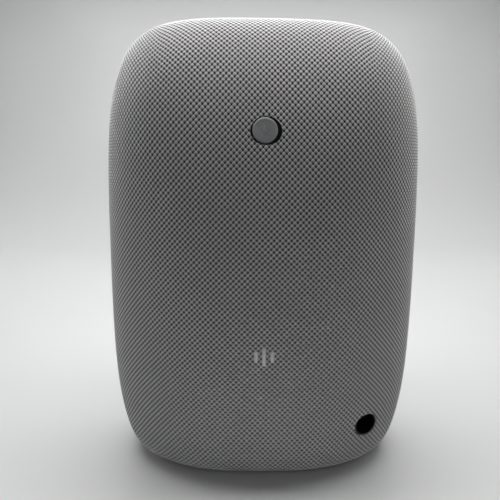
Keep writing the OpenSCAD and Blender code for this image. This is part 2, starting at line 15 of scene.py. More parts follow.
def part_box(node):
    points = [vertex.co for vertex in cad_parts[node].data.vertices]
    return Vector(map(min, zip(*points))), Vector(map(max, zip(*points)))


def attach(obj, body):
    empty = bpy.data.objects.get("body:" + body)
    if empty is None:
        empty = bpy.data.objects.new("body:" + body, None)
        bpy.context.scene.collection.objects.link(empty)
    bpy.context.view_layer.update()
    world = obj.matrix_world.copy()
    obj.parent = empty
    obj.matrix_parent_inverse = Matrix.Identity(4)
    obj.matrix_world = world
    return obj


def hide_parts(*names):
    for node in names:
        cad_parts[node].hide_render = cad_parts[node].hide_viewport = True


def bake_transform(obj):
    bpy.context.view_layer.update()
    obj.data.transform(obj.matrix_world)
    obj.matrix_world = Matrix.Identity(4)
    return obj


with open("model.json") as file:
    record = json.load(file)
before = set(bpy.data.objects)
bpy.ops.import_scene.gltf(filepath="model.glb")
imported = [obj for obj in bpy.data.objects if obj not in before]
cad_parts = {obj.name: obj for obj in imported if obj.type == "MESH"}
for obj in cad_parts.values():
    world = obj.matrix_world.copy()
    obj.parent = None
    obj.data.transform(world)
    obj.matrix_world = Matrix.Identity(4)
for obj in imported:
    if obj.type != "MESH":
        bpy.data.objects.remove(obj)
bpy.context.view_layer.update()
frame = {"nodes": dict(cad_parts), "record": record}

MM = 0.001
SHELL = "shell"
rng = np.random.default_rng(7)


def box_mm(node):
    """Lowest and highest corner of a CAD node, in millimetres."""
    low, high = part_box(node)
    return np.array(low) / MM, np.array(high) / MM


# ---- Sizes taken from the frame ----

sleeve_low, sleeve_high = box_mm("fabric_sleeve")
knob_low, knob_high = box_mm("mute_knob")
recess_low, recess_high = box_mm("switch_recess")
emblem_low, emblem_high = box_mm("emblem")
inlet_low, inlet_high = box_mm("inlet_sleeve")
_, foot_high = box_mm("foot_pad")

HALF_W, HALF_D, TOP = sleeve_high
LIFT = sleeve_low[2]
# The outline is widest at WIDE_Z, and UP and DOWN are its heights from there before the floor cuts it
WIDE_Z = 70.0
CENTRE = np.array([0, 0, WIDE_Z])
UP, DOWN = TOP - WIDE_Z, 107.0
FLOOR_DEPTH = WIDE_Z - LIFT
TOP_POWER, BOTTOM_POWER, SIDE_POWER = 8.8, 4.5, 2.2
TOP_CUT, BOTTOM_CUT = 0.54, 0.63
CORNER_BLEND, BASE_BLEND = 10.0, 22.0

RECESS_WALL = 0.6
SLOT_LENGTH = recess_high[0] - recess_low[0] - 2 * RECESS_WALL
SLOT_HEIGHT = recess_high[2] - recess_low[2] - 2 * RECESS_WALL
SLOT_Z = (recess_low[2] + recess_high[2]) / 2
KNOB_X, KNOB_Z = (knob_low[0] + knob_high[0]) / 2, (knob_low[2] + knob_high[2]) / 2
KNOB_R = (knob_high[0] - knob_low[0]) / 2
INLET_X, INLET_Z = (inlet_low[0] + inlet_high[0]) / 2, (inlet_low[2] + inlet_high[2]) / 2
INLET_R = (inlet_high[0] - inlet_low[0]) / 2
FOOT_CORNER = foot_high[1] * 0.8

# Gaps between the fabric's openings and what sits in them, and how deep its cut edges turn in
BAR_GAP, INLET_GAP, FOOT_GAP = 0.12, 0.05, 0.25
LIP_DEPTH = 1.1
# The foot's opening is cut only from the fabric below this height
UNDERSIDE_Z = 15

# ---- The pillow surface ----


def outline_size(x, dz):
    """1 on the outline in the plane between the halves; dz is measured from the widest level."""
    above = dz >= 0
    power = np.where(above, TOP_POWER, BOTTOM_POWER)
    cut = np.where(above, TOP_CUT, BOTTOM_CUT)
    ax = np.abs(x) / HALF_W
    az = np.abs(dz) / np.where(above, UP, DOWN)
    round_part = (ax**power + az**power) ** (CORNER_BLEND / power)
    cut_part = (cut * (ax + az)) ** CORNER_BLEND
    return ((round_part + cut_part) / (1 + cut**CORNER_BLEND)) ** (1 / CORNER_BLEND)


def size_of(x, y, dz):
    """1 on the sleeve's outer surface, and less inside it."""
    face = (outline_size(x, dz) ** SIDE_POWER + (np.abs(y) / HALF_D) ** SIDE_POWER) ** (1 / SIDE_POWER)
    base = np.maximum(-dz, 0) / FLOOR_DEPTH
    return (face**BASE_BLEND + base**BASE_BLEND) ** (1 / BASE_BLEND)


def onto_surface(points):
    """Points moved onto the surface along the line from the middle of the widest level."""
    p = points - CENTRE
    return p / size_of(*p.T)[:, None] + CENTRE


def normals_at(points):
    """Which way the surface faces at each point."""
    step = 0.02
    p = points - CENTRE
    grad = np.stack([size_of(*(p + step * e).T) - size_of(*(p - step * e).T) for e in np.eye(3)], axis=-1)
    return grad / np.linalg.norm(grad, axis=-1, keepdims=True)


def solve_up(inside, low, high, steps=44):
    """The value between low and high where inside turns False, found by halving."""
    for _ in range(steps):
        middle = (low + high) / 2
        ok = inside(middle)
        low = np.where(ok, middle, low)
        high = np.where(ok, high, middle)
    return (low + high) / 2


def rear_y(x, z):
    """Where the rear surface lies behind a place on the outline's plane."""
    return -solve_up(lambda depth: size_of(x, -depth, z - WIDE_Z) < 1, np.float64(0), np.float64(HALF_D))


def ramp(value, start, end):
    """A smooth step from 0, where value is start, to 1, where it is end."""
    t = np.clip((value - start) / (end - start), 0, 1)
    return t * t * (3 - 2 * t)


# ---- The knit's own coordinates: u counts half stitches across, v counts them down from the top rim ----

HALF_PITCH = 0.985
SECTION_FROM_Z = 10.0
SIDE_FOLD_Z = (25.0, 138.0)
SIDE_FOLD_FADE = (12.0, 156.0)
TOP_FOLD_X = 38.0
TOP_FOLD_FADE = 50.0
FOLD_FROM = 0.55


def stretch_at(z):
    """How much longer than wide the knit is pulled at each height."""
    return 1.02 + 0.14 * ramp(z, 85, 150) + 0.22 * ramp(z, 45, 8)


class Knit:
    """Finds the knit's coordinates on the surface, and the surface point at given coordinates."""

    def __init__(self):
        self.make_sections()
        self.make_profiles()
        self.rim_line = self.rim()

    def make_sections(self):
        """Lengths across the rear face in level planes, from the middle to the side."""
        levels, steps = 260, 220
        share = np.linspace(0, 1, levels)
        self.z = SECTION_FROM_Z + (TOP - 0.002 - SECTION_FROM_Z) * (1 - (1 - share) ** 2.2)
        dz = self.z - WIDE_Z
        self.half = solve_up(lambda x: size_of(x, 0 * x, dz) < 1, 0 * dz, 0 * dz + HALF_W + 1)
        t = np.sin(np.linspace(0, math.pi / 2, steps))
        x = t[None, :] * self.half[:, None]
        flat = outline_size(x, dz[:, None])
        base = (np.maximum(-dz, 0) / FLOOR_DEPTH)[:, None] ** BASE_BLEND
        room = (1 - base) ** (SIDE_POWER / BASE_BLEND) - flat**SIDE_POWER
        y = HALF_D * np.maximum(room, 0) ** (1 / SIDE_POWER)
        y[:, -1] = 0
        run = np.hypot(np.diff(x, axis=1), np.diff(y, axis=1))
        self.across = np.concatenate([np.zeros((levels, 1)), np.cumsum(run, axis=1)], axis=1)
        self.side_units = round(float(np.interp(WIDE_Z, self.z, self.across[:, -1])) / HALF_PITCH)

    def u_at(self, x, z):
        """The knit's coordinate across, at places on the right of the rear face."""
        level = np.interp(z, self.z, np.arange(len(self.z)))
        half = np.interp(z, self.z, self.half)
        steps = self.across.shape[1] - 1
        turn = np.arcsin(np.clip(x / half, 0, 1)) / (math.pi / 2) * steps
        i = np.clip(level.astype(int), 0, len(self.z) - 2)
        j = np.clip(turn.astype(int), 0, steps - 1)
        f, g = level - i, turn - j
        table = self.across
        length = (
            table[i, j] * (1 - f) * (1 - g)
            + table[i + 1, j] * f * (1 - g)
            + table[i, j + 1] * (1 - f) * g
            + table[i + 1, j + 1] * f * g
        )
        whole = table[i, -1] * (1 - f) + table[i + 1, -1] * f
        at_fold = np.interp(np.clip(z, *SIDE_FOLD_Z), self.z, table[:, -1])
        spare = self.side_units - at_fold / HALF_PITCH
        fade = ramp(z, SIDE_FOLD_FADE[0], SIDE_FOLD_Z[0]) * ramp(z, SIDE_FOLD_FADE[1], SIDE_FOLD_Z[1])
        return length / HALF_PITCH + spare * ramp(length / whole, FOLD_FROM, 1) * fade

    def make_profiles(self):
        """Lengths up and down the rear face in upright planes, from the widest level."""
        planes, steps = 300, 520
        self.x = HALF_W * (1 - (1 - np.linspace(0, 1, planes + 1)[:-1]) ** 4)
        turn = np.linspace(-math.pi / 2, math.pi / 2, 2 * steps + 1)
        x = self.x[:, None] + 0 * turn[None, :]
        c, s = np.cos(turn)[None, :] + 0 * x, np.sin(turn)[None, :] + 0 * x
        c[:, 0] = c[:, -1] = 0
        reach = solve_up(lambda r: size_of(x, r * c, r * s) < 1, 0 * x, 0 * x + 120)
        self.profile = np.stack([x, -reach * c, WIDE_Z + reach * s], axis=-1)
        middle_z = (self.profile[:, 1:, 2] + self.profile[:, :-1, 2]) / 2
        run = np.linalg.norm(np.diff(self.profile, axis=1), axis=-1) / stretch_at(middle_z)
        up = np.cumsum(run[:, steps:], axis=1)
        down = np.cumsum(run[:, :steps][:, ::-1], axis=1)[:, ::-1]
        height = np.concatenate([-down, np.zeros((planes, 1)), up], axis=1) / HALF_PITCH
        to_rim = height[:, -1:]
        self.top_units = float(to_rim[0, 0])
        at_fold = np.interp(np.minimum(self.x, TOP_FOLD_X), self.x, to_rim[:, 0])[:, None]
        spare = (self.top_units - at_fold) * ramp(self.x, TOP_FOLD_FADE, TOP_FOLD_X)[:, None]
        height = height + spare * ramp(height / to_rim, FOLD_FROM, 1)
        self.v = self.top_units - height

    def rim(self, count=2400):
        """The line between the two halves on the right, from the top round to the base."""
        turn = np.linspace(math.pi / 2, -math.pi / 2, count)
        c, s = np.cos(turn), np.sin(turn)
        c[0] = c[-1] = 0
        reach = 1 / size_of(c, 0 * c, s)
        x, z = reach * c, WIDE_Z + reach * s
        place = (1 - np.clip(1 - x / HALF_W, 0, 1) ** 0.25) * len(self.x)
        index = np.arange(len(self.x))
        upper = np.interp(place, index, self.v[:, -1])
        lower = np.interp(place, index, self.v[:, 0])
        v = np.where(z >= WIDE_Z, upper, lower)
        side = np.abs(1 - x / HALF_W) < 1e-9
        v = np.maximum.accumulate(np.where(side, self.top_units, v))
        return np.stack([x, 0 * x, z], axis=-1), self.u_at(x, z), v

    def rim_reach(self, v):
        """How far u runs at v before it meets the line between the halves. Negative above that line."""
        _, rim_u, rim_v = self.rim_line
        flat_end = rim_u[rim_v < 1e-6].max()
        reach = np.where(v < 1e-9, flat_end, np.interp(v, rim_v, rim_u))
        return np.where((v < -1e-9) | (v > rim_v[-1]), -1, reach)

    def on_rim(self, u, v):
        """The points of the line between the halves nearest to knit coordinates."""
        rim_points, rim_u, rim_v = self.rim_line
        near = np.argmin(np.hypot(rim_u[None] - np.abs(u)[:, None], rim_v[None] - v[:, None]), axis=1)
        low, high = np.maximum(near - 1, 0), np.minimum(near + 1, len(rim_u) - 1)
        run_u, run_v = rim_u[high] - rim_u[low], rim_v[high] - rim_v[low]
        share = ((np.abs(u) - rim_u[low]) * run_u + (v - rim_v[low]) * run_v) / (run_u**2 + run_v**2)
        points = rim_points[low] + (rim_points[high] - rim_points[low]) * np.clip(share, 0, 1)[:, None]
        points[:, 0] *= np.where(u < 0, -1, 1)
        points[:, 1] = 0
        return points

    def points_at(self, u, v):
        """Surface points at knit coordinates that lie on the rear face."""
        rim_points, rim_u, rim_v = self.rim_line
        levels, level_of = np.unique(np.round(v, 6), return_inverse=True)
        lines = np.array([
            [np.interp(levels, self.v[k][::-1], self.profile[k][::-1, a]) for a in range(3)]
            for k in range(len(self.x))
        ])
        first, last = self.v[:, -1], self.v[:, 0]
        order = np.argsort(level_of, kind="stable")
        starts = np.searchsorted(level_of[order], np.arange(len(levels) + 1))
        points = np.zeros((len(u), 3))
        for j, level in enumerate(levels):
            valid = (first <= level + 1e-9) & (last >= level - 1e-9)
            line = lines[valid][:, :, j]
            row_u = self.u_at(line[:, 0], line[:, 2])
            if level > 0:
                crossing = [np.interp(level, rim_v, rim_points[:, a]) for a in range(3)]
                line = np.vstack([line, crossing])
                row_u = np.append(row_u, np.interp(level, rim_v, rim_u))
            row_u = np.maximum.accumulate(row_u)
            here = order[starts[j]:starts[j + 1]]
            for a in range(3):
                points[here, a] = np.interp(np.abs(u[here]), row_u, line[:, a])
        points[:, 0] *= np.where(u < 0, -1, 1)
        return points


# ---- Sheets of polygons ----


def cut_faces(faces, field, crossing):
    """Keeps the part of each face where field is positive. crossing makes the new point on a cut edge."""
    made, kept = {}, []
    for face in faces:
        inside = [field[i] > 0 for i in face]
        if all(inside):
            kept.append(face)
            continue
        if not any(inside):
            continue
        corners = []
        for a, b, a_in, b_in in zip(face, face[1:] + face[:1], inside, inside[1:] + inside[:1]):
            if a_in:
                corners.append(a)
            if a_in != b_in:
                key = (a, b) if a_in else (b, a)
                if key not in made:
                    made[key] = crossing(*key)
                corners.append(made[key])
        if len(set(corners)) > 2:
            kept.append(corners)
    return kept


class Sheet:
    """A growing set of points with knit coordinates, and its faces."""

    def __init__(self, points, knit_uv, faces):
        self.points = [tuple(p) for p in points]
        self.uv = [tuple(q) for q in knit_uv]
        self.faces = faces

    def add(self, point, uv):
        self.points.append(tuple(point))
        self.uv.append(tuple(uv))
        return len(self.points) - 1

    def cut(self, distance):
        """Cuts away where distance, a function of an array of points, is negative."""
        field = distance(np.array(self.points))

        def crossing(a, b):
            share = field[a] / (field[a] - field[b])
            p = np.array(self.points[a]) * (1 - share) + np.array(self.points[b]) * share
            q = np.array(self.uv[a]) * (1 - share) + np.array(self.uv[b]) * share
            return self.add(onto_surface(p[None])[0], q)

        self.faces = cut_faces(self.faces, field, crossing)


# How far past the rim a grid point still counts as on it, and how near one may lie before it moves there
ON_RIM = 1e-6
JOINS_RIM = 0.04


def edges_off_sheet(there, corners, inside):
    """The grid edges that have only their first end on the sheet, each as two grid places."""
    leaving = np.argwhere(inside != np.roll(inside, -1, axis=1))
    cell, corner = leaving[:, 0], leaving[:, 1]
    ends = np.stack([corners[cell, corner], corners[cell, (corner + 1) % 4]], axis=1)
    swap = ~there[ends[:, 0, 0], ends[:, 0, 1]]
    ends[swap] = ends[swap][:, ::-1]
    return np.unique(ends.reshape(len(ends), 4), axis=0).reshape(-1, 2, 2)


def rim_crossings(knit, start, stop):
    """Where the ways from start to stop, in knit coordinates, meet the rim."""

    def on_sheet(share):
        at = start + (stop - start) * share[:, None]
        return np.abs(at[:, 0]) <= knit.rim_reach(at[:, 1]) + ON_RIM

    share = solve_up(on_sheet, np.zeros(len(start)), np.ones(len(start)))
    return start + (stop - start) * share[:, None]


def rim_face(places, marks, number, made):
    """The part of one grid cell that lies on the sheet, as point numbers."""
    face = []
    for k in range(4):
        p, q = places[k], places[(k + 1) % 4]
        if marks[k]:
            face.append(int(number[p[0], p[1]]))
        if marks[k] != marks[(k + 1) % 4]:
            face.append(made[(*p, *q)] if marks[k] else made[(*q, *p)])
    return list(dict.fromkeys(face))


def rear_sheet(knit):
    """The sleeve's rear half, up to the line between the halves, on a grid along the knit's diagonals."""
    reach = int(knit.side_units + knit.rim_line[2][-1]) // 2 + 2
    steps = (np.arange(-reach, reach)[:, None] + np.array(KNIT_STEPS)).ravel()
    s, w = np.meshgrid(steps, steps, indexing="ij")
    u, v = s - w, s + w
    there = np.abs(u) <= knit.rim_reach(v) + ON_RIM
    number = np.where(there, np.cumsum(there.ravel()).reshape(there.shape) - 1, -1)
    uv = np.stack([u, v], axis=-1)
    sheet = Sheet(knit.points_at(u[there], v[there]), uv[there], [])
    cells = np.argwhere(there[:-1, :-1] | there[1:, :-1] | there[1:, 1:] | there[:-1, 1:])
    corners = np.stack([cells, cells + (0, 1), cells + (1, 1), cells + (1, 0)], axis=1)
    inside = there[corners[..., 0], corners[..., 1]]
    ends = edges_off_sheet(there, corners, inside)
    at = rim_crossings(knit, *(uv[ends[:, k, 0], ends[:, k, 1]] for k in (0, 1)))
    made = {}
    for ((a, b), outer), place, point in zip(ends.tolist(), at, knit.on_rim(at[:, 0], at[:, 1])):
        if np.linalg.norm(place - uv[a, b]) < JOINS_RIM:
            sheet.points[number[a, b]] = tuple(point)
            made[(a, b, *outer)] = int(number[a, b])
        else:
            made[(a, b, *outer)] = sheet.add(point, place)
    whole = inside.all(axis=1)
    sheet.faces = number[corners[whole][..., 0], corners[whole][..., 1]].tolist()
    for places, marks in zip(corners[~whole].tolist(), inside[~whole].tolist()):
        face = rim_face(places, marks, number, made)
        if len(face) > 2:
            sheet.faces.append(face)
    return sheet


def stadium_distance(x, z, run_x, run_z, radius):
    """Distance outside a flat shape with round ends, whose middle line runs run_x or run_z each way."""
    return np.hypot(np.maximum(np.abs(x) - run_x, 0), np.maximum(np.abs(z) - run_z, 0)) - radius


def emblem_bars():
    """Each bar of the emblem as its middle, half length between its round ends, and radius."""
    size = emblem_high[2] - emblem_low[2]
    radius, pitch, shorter = size * 0.1, size * 0.39, 0.4
    middle_z = (emblem_low[2] + emblem_high[2]) / 2
    for place in (-1, 0, 1):
        length = size * (1 - shorter * abs(place))
        yield place * pitch, middle_z, length / 2 - radius, radius


def outside_opening(x, z, run_x, run_z, radius):
    """A function for the distance of points outside an opening in the rear."""

    def distance(p):
        away = stadium_distance(p[:, 0] - x, p[:, 2] - z, run_x, run_z, radius)
        return np.where(p[:, 1] < 0, away, 1)

    return distance


def rear_openings():
    """The switch's opening, the inlet's and the emblem's three."""
    yield outside_opening(0, SLOT_Z, (SLOT_LENGTH - SLOT_HEIGHT) / 2, 0, SLOT_HEIGHT / 2)
    yield outside_opening(INLET_X, INLET_Z, 0, 0, INLET_R + INLET_GAP)
    for x, z, half_run, radius in emblem_bars():
        yield outside_opening(x, z, 0, half_run, radius + BAR_GAP)


def outside_foot(p):
    """Distance outside the foot's rounded rectangle, on the underside."""
    half_l, half_d = foot_high[0] + FOOT_GAP, foot_high[1] + FOOT_GAP
    corner = FOOT_CORNER + FOOT_GAP
    x, y = np.abs(p[:, 0]) - half_l + corner, np.abs(p[:, 1]) - half_d + corner
    away = np.hypot(np.maximum(x, 0), np.maximum(y, 0)) + np.minimum(np.maximum(x, y), 0) - corner
    return np.where(p[:, 2] < UNDERSIDE_Z, away, 1)


# The knit's cells run along its diagonals: a hole at each whole s and w, a groove along each line between
# holes, and a raised diamond in each cell. Its upper edges stand out furthest, and its face leans down.
UPPER_EDGE, LOWER_EDGE = 0.20, 0.13
KNIT_STEPS = (0, UPPER_EDGE, 1 - LOWER_EDGE)
GROOVE_DEPTH = 0.36
HOLE_DEPTH = 0.36
FACE_LEAN = 0.10
KNIT_RISE = 0.10
DOME_LEAN = 0.25
# How far the holes' painted shade sits above the holes themselves, as a shadow falls from above
HOLE_SHADE_SHIFT = 0.10


def relief(u, v):
    """Height of the knit over the sleeve's surface, and which points lie on the diamonds' faces."""
    s, w = (u + v) / 2, (v - u) / 2
    share_s, share_w = s - np.floor(s + 1e-6), w - np.floor(w + 1e-6)

    def edge(share):
        return np.clip(np.minimum(share / UPPER_EDGE, (1 - share) / LOWER_EDGE), 0, 1)

    rise_s, rise_w = edge(share_s), edge(share_w)
    face = KNIT_RISE - FACE_LEAN * (np.clip(share_s, UPPER_EDGE, 1) + np.clip(share_w, UPPER_EDGE, 1))
    rise = np.minimum(rise_s, rise_w)
    height = face * rise - GROOVE_DEPTH * (1 - rise) - HOLE_DEPTH * (1 - rise_s) * (1 - rise_w)
    return height, rise > 1 - 1e-6


def new_mesh(name, points, faces, smooth=True):
    """An object from points in millimetres."""
    mesh = bpy.data.meshes.new(name)
    mesh.from_pydata([tuple(c * MM for c in p) for p in points], [], faces)
    mesh.validate()
    for polygon in mesh.polygons:
        polygon.use_smooth = smooth
    piece = bpy.data.objects.new(name, mesh)
    bpy.context.scene.collection.objects.link(piece)
    return piece


def read_all(items, field, kind, width=1):
    """One field of every item in a mesh's collection."""
    values = np.zeros(len(items) * width, kind)
    items.foreach_get(field, values)
    return values


def dome_diamonds(sleeve, points, on_top):
    """Leans the normals of each diamond's top outwards, so that it shades as the round yarn it is."""
    mesh = sleeve.data
    starts, totals = (read_all(mesh.polygons, field, int) for field in ("loop_start", "loop_total"))
    corners = read_all(mesh.loops, "vertex_index", int)
    flat = read_all(mesh.polygons, "normal", float, 3).reshape(-1, 3)
    normals = np.zeros((len(corners), 3))
    quads = starts[totals == 4][:, None] + np.arange(4)
    tops = on_top[corners[quads]].all(axis=1)
    quads, out = quads[tops], flat[totals == 4][tops]
    places = points[corners[quads]]
    lean = places - places.mean(axis=1, keepdims=True)
    lean /= np.linalg.norm(lean, axis=2, keepdims=True)
    normals[quads] = out[:, None] + DOME_LEAN * lean
    normals[quads] /= np.linalg.norm(normals[quads], axis=2, keepdims=True)
    mesh.normals_split_custom_set(normals.tolist())


def add_front(sheet):
    """Adds the rear half's mirror image, which shares the points on the line between the halves."""
    count = len(sheet.points)
    points = np.array(sheet.points)
    shared = np.abs(points[:, 1]) < 1e-4
    own = np.where(shared, np.arange(count), count + np.cumsum(~shared) - 1)
    sheet.points += [tuple(p) for p in points[~shared] * (1, -1, 1)]
    sheet.uv += [tuple(q) for q in np.array(sheet.uv)[~shared]]
    sheet.faces += [[int(own[i]) for i in reversed(f)] for f in sheet.faces]


def open_edges(faces):
    """The edges that belong to one face only, in that face's direction."""
    edges = {}
    for face in faces:
        for a, b in zip(face, face[1:] + face[:1]):
            edges[(a, b)] = edges.get((a, b), 0) + 1
    return [(a, b) for a, b in edges if (b, a) not in edges]


def make_sleeve():
    """The knitted sleeve, whose every open edge turns in as deep as the fabric is thick."""
    sheet = rear_sheet(Knit())
    sheet.cut(outside_foot)
    add_front(sheet)
    for distance in rear_openings():
        sheet.cut(distance)
    points, uv = np.array(sheet.points), np.array(sheet.uv)
    normals = normals_at(points)
    heights, on_face = relief(uv[:, 0], uv[:, 1])
    raised = points + normals * heights[:, None]
    cut_edges = open_edges(sheet.faces)
    rim = sorted({i for edge in cut_edges for i in edge})
    inner = {i: len(raised) + k for k, i in enumerate(rim)}
    all_points = np.vstack([raised, points[rim] - normals[rim] * LIP_DEPTH])
    all_uv = np.vstack([uv, uv[rim] + 0.5])
    faces = sheet.faces + [[b, a, inner[a], inner[b]] for a, b in cut_edges]
    used = sorted({i for f in faces for i in f})
    order = {old: new for new, old in enumerate(used)}
    faces = [[order[i] for i in f] for f in faces]
    sleeve = new_mesh("knitted_sleeve", all_points[used], faces, smooth=False)
    layer = sleeve.data.uv_layers.new(name="knit")
    corners = read_all(sleeve.data.loops, "vertex_index", int)
    layer.data.foreach_set("uv", all_uv[used][corners].astype(np.float32).ravel())
    on_face = np.append(on_face, np.zeros(len(rim), bool))
    dome_diamonds(sleeve, all_points[used], on_face[used])
    return sleeve


# ---- Small pieces ----


def closed_mesh(name, points, faces):
    """A mesh whose faces all look outwards."""
    piece = new_mesh(name, points, faces)
    shape = bmesh.new()
    shape.from_mesh(piece.data)
    bmesh.ops.recalc_face_normals(shape, faces=shape.faces)
    shape.to_mesh(piece.data)
    shape.free()
    return piece


def loft(name, rings):
    """A closed mesh through rings of points, each ring as long as the next, with its ends filled."""
    count = len(rings[0])
    points = [tuple(p) for ring in rings for p in ring]
    faces = []
    for k in range(len(rings) - 1):
        for i in range(count):
            j = (i + 1) % count
            faces.append([k * count + i, k * count + j, (k + 1) * count + j, (k + 1) * count + i])
    faces.append(list(range(count))[::-1])
    faces.append([(len(rings) - 1) * count + i for i in range(count)])
    return closed_mesh(name, points, faces)


def circle_points(count):
    """Points round a circle of radius 1."""
    turn = np.linspace(0, 2 * math.pi, count, endpoint=False)
    return np.stack([np.cos(turn), np.sin(turn)], axis=1)


def round_outline(run_x, run_y, radius, count=96):
    """Points round a rectangle whose round corners are centred run_x and run_y from its middle."""
    circle = circle_points(count)
    return np.sign(circle) * (run_x, run_y) + radius * circle


def microphone(x, z):
    """How far points are from the strokes of a small microphone sign, negative inside a stroke."""
    scale = 1.35
    x, z = x / scale, z / scale
    stroke, cradle_r, cradle_z = 0.15, 0.86, 0.35
    capsule = stadium_distance(x, z - 0.62, 0, 0.32, 0.30)
    arc = np.abs(np.hypot(x, z - cradle_z) - cradle_r) - stroke
    arc_end = np.hypot(np.abs(x) - cradle_r, z - cradle_z) - stroke
    cradle = np.where(z < cradle_z, arc, arc_end)
    stem = stadium_distance(x, z + 0.82, 0, 0.30, stroke)
    return np.minimum(np.minimum(capsule, cradle), stem) * scale


def make_knob():
    """The round head with its bevelled rim and shallow sign, and the stem behind it."""
    front, head, stem_r = knob_low[1], 2.0, 1.6
    bevel, turns, face_rings, sign_depth = 0.42, 160, 44, 0.24
    circle = circle_points(turns)

    def ring(radius, y):
        x, z = circle.T * radius
        return np.stack([KNOB_X + x, y + 0 * x, KNOB_Z + z], axis=1)

    rings = []
    for radius in np.linspace(0.05, KNOB_R - bevel - 0.12, face_rings):
        sunk = sign_depth * ramp(microphone(*circle.T * radius), 0.07, -0.05)
        rings.append(ring(radius, front + 0.05 + sunk))
    rings.append(ring(KNOB_R - bevel - 0.06, front + 0.02))
    for angle in np.linspace(0, math.pi / 2, 7):
        rings.append(ring(KNOB_R - bevel * (1 - math.sin(angle)), front + bevel * (1 - math.cos(angle))))
    rings += [ring(KNOB_R, front + head - 0.1), ring(KNOB_R - 0.1, front + head)]
    rings += [ring(stem_r + 0.1, front + head), ring(stem_r, front + head + 0.1)]
    rings.append(ring(stem_r, knob_high[1]))
    return loft("switch_knob", rings)


def make_emblem():
    """Three short rounded bars with soft edges, standing just proud of the knit."""
    # how much narrower each ring is, as a share of the radius, and how far it lies behind the front
    edge = [(0.62, 0.0), (0.40, 0.03), (0.20, 0.10), (0.06, 0.22), (0, 0.40), (0, 1.5)]
    bars = []
    for k, (x, z, half_run, radius) in enumerate(emblem_bars()):
        rings = []
        for inset, depth in edge:
            across, up = round_outline(0, half_run, radius - inset * radius, 48).T
            rings.append(np.stack([x + across, emblem_low[1] + depth + 0 * across, z + up], axis=1))
        bars.append(loft(f"emblem_bar_{k + 1}", rings))
    return bars


def make_foot():
    """The silicone pad: round edges and a slightly sunk middle inside a flat border."""
    half_l, half_d, thick = foot_high
    # each ring's distance in from the outline, and its height
    border = [(3.4, 0.35), (3.1, 0.33), (2.7, 0.06), (2.4, 0.0)]
    edge = [(0.55, 0.0), (0.25, 0.08), (0.06, 0.28), (0, 0.55), (0, thick)]
    rings = []
    for inset, z in border + edge:
        outline = round_outline(half_l - FOOT_CORNER, half_d - FOOT_CORNER, FOOT_CORNER - inset)
        rings.append(np.concatenate([outline[::-1], np.full((len(outline), 1), z)], axis=1))
    return loft("foot", rings)


# A place on the knit's coordinates in the middle of a diamond, which gives loose fibres the yarn's colour
YARN_UV = (0.0, 1.0)


def fibre_line(out, along):
    """Where one loose fibre runs from the inlet's edge, with the way that the surface faces there."""
    x, _, z = np.array([INLET_X, 0, INLET_Z]) + out * (INLET_R + 0.15)
    root = np.array([x, rear_y(x, z), z])
    away = normals_at(root[None])[0]
    length, lean, curl = rng.uniform(0.7, 1.9), rng.normal(0, 0.5), rng.normal(0, 0.6)
    share = np.linspace(0, 1, 6)[:, None]
    line = root - out * length * (0.75 * share - 0.2 * share**2)
    line = line + along * length * (lean * share + curl * share**2) * 0.6
    return line + away * (0.05 + 0.30 * length * share * (1 - 0.4 * share)), away


def make_fibres():
    """Short loose fibres where the fabric was cut round the inlet, most at its lower right."""
    count, thickness, sides = 150, 0.035, 3
    points, faces = [], []
    for _ in range(count):
        angle = rng.normal(math.radians(-38), 0.75)
        out = np.array([math.cos(angle), 0, math.sin(angle)])
        along = np.array([-out[2], 0, out[0]])
        line, away = fibre_line(out, along)
        start, last = len(points), len(line) - 1
        for k, place in enumerate(line):
            size = thickness * (1 - 0.6 * k / last)
            for turn in np.arange(sides) * 2 * math.pi / sides:
                points.append(place + size * (math.cos(turn) * along + math.sin(turn) * away))
        for k in range(last):
            for side in range(sides):
                a, b = start + k * sides + side, start + k * sides + (side + 1) % sides
                faces.append([a, b, b + sides, a + sides])
        faces.append([start + side for side in range(sides)][::-1])
        faces.append([start + last * sides + side for side in range(sides)])
    fibres = closed_mesh("inlet_fibres", points, faces)
    yarn = fibres.data.uv_layers.new(name="knit")
    for corner in yarn.data:
        corner.uv = YARN_UV
    return fibres


def make_sectors(name, profile, middle_z, count, inner, outer):
    """A soft ring of the woofer in sectors, each with a point at its inner edge, which on the real speaker
    moves with the cone, and one at its outer edge, which stays. A profile is a closed outline of radius and
    y."""
    half_angle = math.pi / count
    steps = 24
    radius, y = profile.T
    sectors = []
    for k in range(count):
        middle = 2 * math.pi * k / count
        rings = [
            np.stack([radius * math.cos(turn), y, middle_z + radius * math.sin(turn)], axis=1)
            for turn in np.linspace(middle - half_angle, middle + half_angle, steps + 1)
        ]
        way = np.array([math.cos(middle), 0, math.sin(middle)])
        axis = np.array([0, 0, middle_z])
        start = tuple((axis + way * inner) * MM)
        end = tuple((axis + way * outer * math.cos(half_angle)) * MM)
        sectors.append((loft(f"{name}_{k + 1}", rings), start, end))
    return sectors


def make_spider():
    """The corrugated cloth that centres the voice coil."""
    low, high = box_mm("woofer_spider")
    inner, outer, waves, thick, sectors = 7.5, high[0], 3, 0.4, 6
    share = np.linspace(0, 1, 73)
    middle_y = (low[1] + high[1] - thick) / 2
    swing = (high[1] - low[1] - thick) / 2
    radius = inner + (outer - inner) * share
    y = middle_y + swing * np.sin(2 * math.pi * waves * share)
    profile = np.concatenate([np.stack([radius, y + thick], 1), np.stack([radius, y], 1)[::-1]])
    return make_sectors("spider", profile, (low[2] + high[2]) / 2, sectors, inner, outer)


def arc(middle, y, radius, first, last, count=17):
    """Places of radius and y along an arc of a profile."""
    return [
        (middle + radius * math.cos(turn), y + radius * math.sin(turn))
        for turn in np.linspace(first, last, count)
    ]


